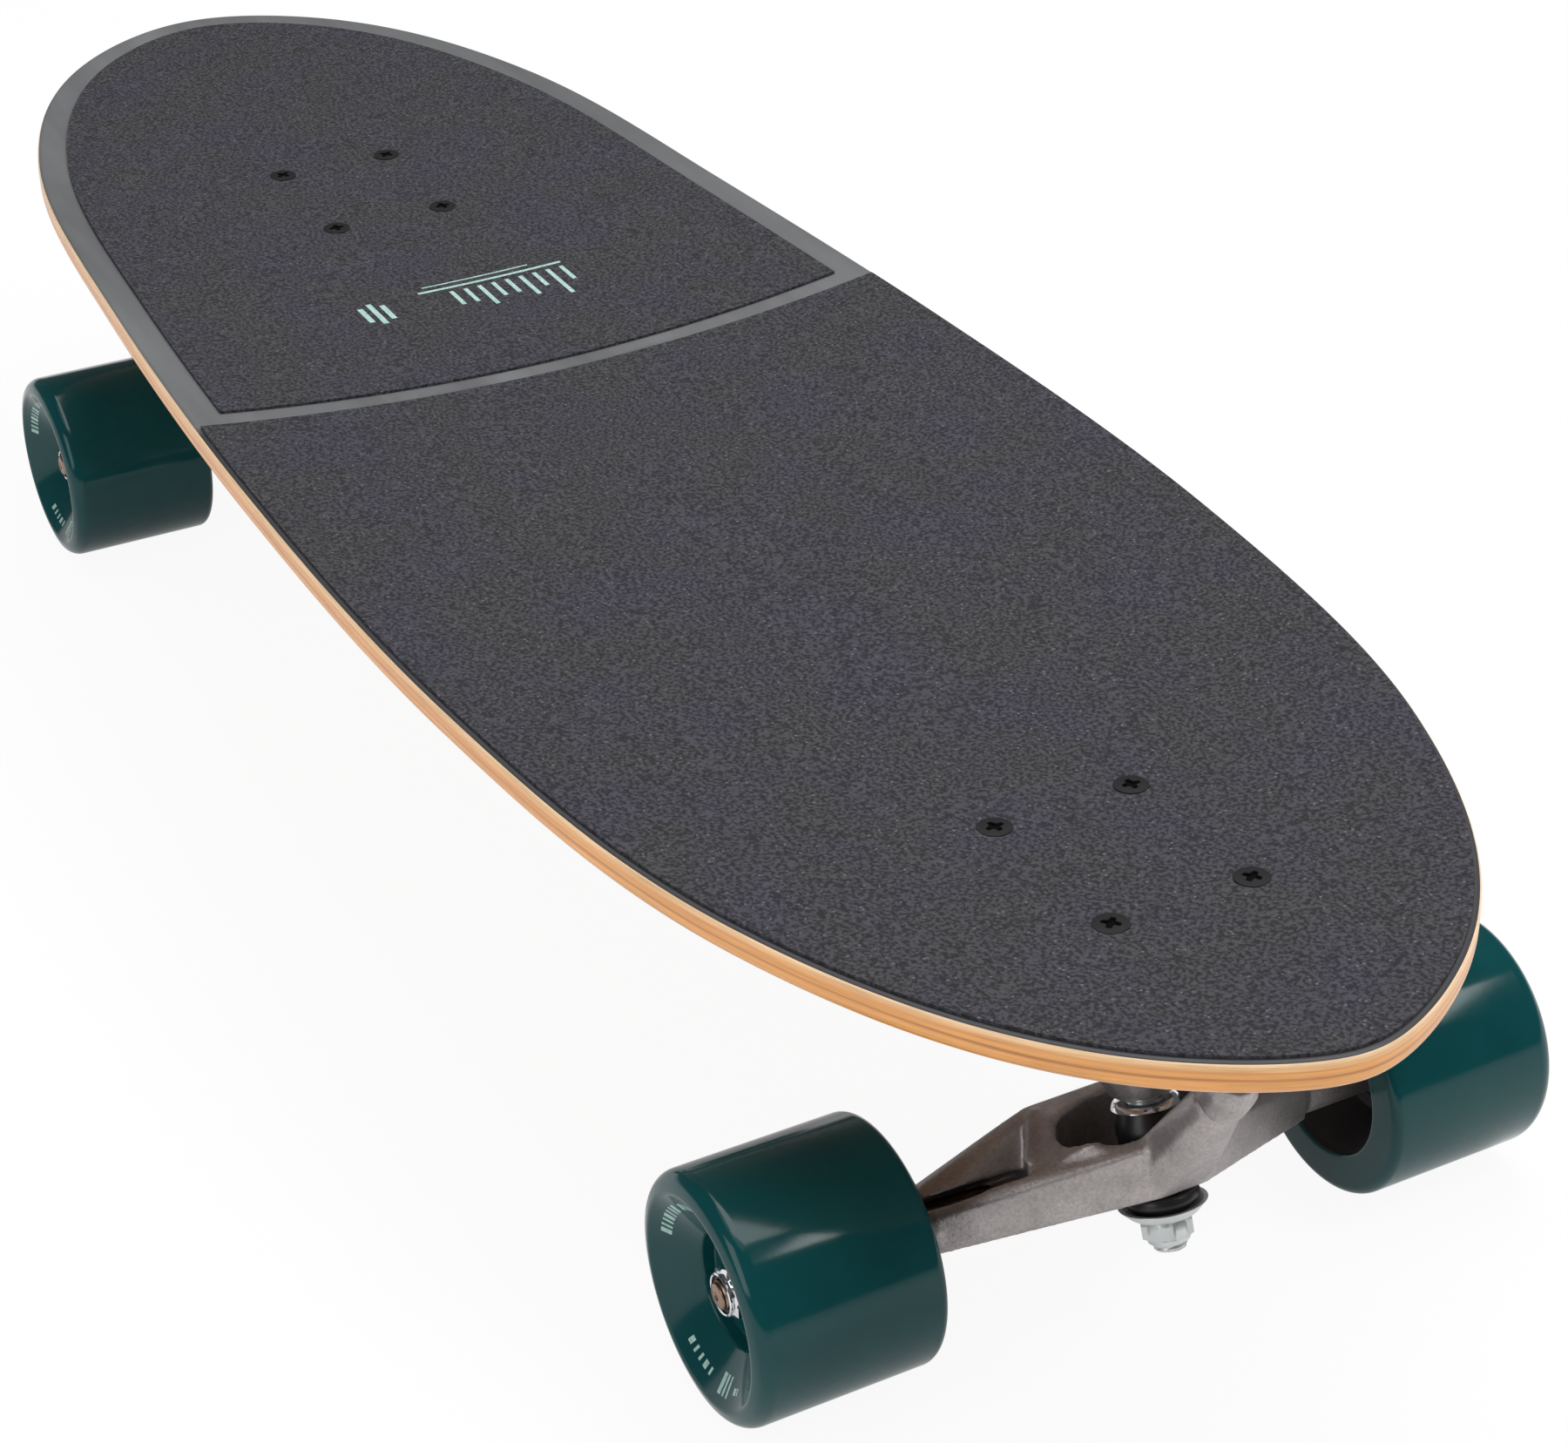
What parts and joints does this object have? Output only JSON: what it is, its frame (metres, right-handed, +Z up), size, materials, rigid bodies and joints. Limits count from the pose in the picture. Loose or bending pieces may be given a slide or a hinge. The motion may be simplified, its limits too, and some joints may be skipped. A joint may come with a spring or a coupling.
{
  "type": "surf skateboard",
  "caption": "Wide wooden surf skateboard with charcoal grip, a tall carving front truck, a rear truck and dark teal urethane wheels on ball bearings.",
  "frame": {"origin": "on the ground under the middle of the deck", "axes": "+X toward the nose, +Y to the left of a rider who faces the nose, +Z up"},
  "size_m": [0.804, 0.2514, 0.1427],
  "materials": {
    "deck_wood": "clear-coated laminated maple, streaky orange-tan edge",
    "grip_sheet": "charcoal abrasive sheet with fine sparkle",
    "black_steel": "black oxide steel",
    "cast_aluminium": "raw cast, satin",
    "zinc_steel": "bright zinc plate",
    "chrome_steel": "polished chrome",
    "axle_steel": "heat-tinted steel",
    "bushing_urethane": "black urethane",
    "pivot_cup_plastic": "moulded black cup",
    "wheel_urethane": "dark teal urethane, satin gloss"
  },
  "bodies": {
    "board": {"deck": "deck_wood", "grip_sheet_front": "grip_sheet", "grip_pad_rear": "grip_sheet", "front_deck_bolt_outer_a": "black_steel", "front_deck_bolt_outer_b": "black_steel", "front_deck_bolt_inner_a": "black_steel", "front_deck_bolt_inner_b": "black_steel", "front_deck_nut_outer_a": "black_steel", "front_deck_nut_outer_b": "black_steel", "front_deck_nut_inner_a": "black_steel", "front_deck_nut_inner_b": "black_steel", "front_baseplate": "cast_aluminium", "front_pivot_cup": "pivot_cup_plastic", "front_kingpin": "zinc_steel", "front_kingpin_nut": "zinc_steel", "front_washer_road": "zinc_steel", "front_washer_board": "chrome_steel", "front_bushing_road": "bushing_urethane", "front_bushing_board": "bushing_urethane", "rear_deck_bolt_outer_a": "black_steel", "rear_deck_bolt_outer_b": "black_steel", "rear_deck_bolt_inner_a": "black_steel", "rear_deck_bolt_inner_b": "black_steel", "rear_deck_nut_outer_a": "black_steel", "rear_deck_nut_outer_b": "black_steel", "rear_deck_nut_inner_a": "black_steel", "rear_deck_nut_inner_b": "black_steel", "rear_baseplate": "cast_aluminium", "rear_pivot_cup": "pivot_cup_plastic", "rear_kingpin": "zinc_steel", "rear_kingpin_nut": "zinc_steel", "rear_washer_road": "zinc_steel", "rear_washer_board": "chrome_steel", "rear_bushing_road": "bushing_urethane", "rear_bushing_board": "bushing_urethane"},
    "front_hanger_body": {"front_hanger": "cast_aluminium", "front_axle": "axle_steel", "front_left_speed_washer": "zinc_steel", "front_left_axle_nut": "zinc_steel", "front_right_speed_washer": "zinc_steel", "front_right_axle_nut": "zinc_steel"},
    "front_left_wheel_body": {"front_left_wheel": "wheel_urethane", "front_left_bearing_outer": "chrome_steel", "front_left_bearing_inner": "chrome_steel"},
    "front_right_wheel_body": {"front_right_wheel": "wheel_urethane", "front_right_bearing_outer": "chrome_steel", "front_right_bearing_inner": "chrome_steel"},
    "rear_hanger_body": {"rear_hanger": "cast_aluminium", "rear_axle": "axle_steel", "rear_left_speed_washer": "zinc_steel", "rear_left_axle_nut": "zinc_steel", "rear_right_speed_washer": "zinc_steel", "rear_right_axle_nut": "zinc_steel"},
    "rear_left_wheel_body": {"rear_left_wheel": "wheel_urethane", "rear_left_bearing_outer": "chrome_steel", "rear_left_bearing_inner": "chrome_steel"},
    "rear_right_wheel_body": {"rear_right_wheel": "wheel_urethane", "rear_right_bearing_outer": "chrome_steel", "rear_right_bearing_inner": "chrome_steel"}
  },
  "joints": [
    {"name": "front_truck_lean", "type": "hinge", "parent": "board", "child": "front_hanger_body", "pos_m": [0.32064, 0, 0.04279], "axis": [0.5205, 0, 0.8538], "range_deg": [-20, 20], "stiffness_Nm_per_rad": 45, "deforming": ["front_bushing_road", "front_bushing_board"]},
    {"name": "rear_truck_lean", "type": "hinge", "parent": "board", "child": "rear_hanger_body", "pos_m": [-0.22427, 0, 0.0387], "axis": [-0.8294, 0, 0.5587], "range_deg": [-20, 20], "stiffness_Nm_per_rad": 45, "deforming": ["rear_bushing_road", "rear_bushing_board"]},
    {"name": "front_left_wheel_spin", "type": "hinge", "parent": "front_hanger_body", "child": "front_left_wheel_body", "pos_m": [0.29801, 0, 0.034], "axis": [0, 1, 0], "continuous": true},
    {"name": "front_right_wheel_spin", "type": "hinge", "parent": "front_hanger_body", "child": "front_right_wheel_body", "pos_m": [0.29801, 0, 0.034], "axis": [0, 1, 0], "continuous": true},
    {"name": "rear_left_wheel_spin", "type": "hinge", "parent": "rear_hanger_body", "child": "rear_left_wheel_body", "pos_m": [-0.24654, 0, 0.034], "axis": [0, 1, 0], "continuous": true},
    {"name": "rear_right_wheel_spin", "type": "hinge", "parent": "rear_hanger_body", "child": "rear_right_wheel_body", "pos_m": [-0.24654, 0, 0.034], "axis": [0, 1, 0], "continuous": true}
  ]
}
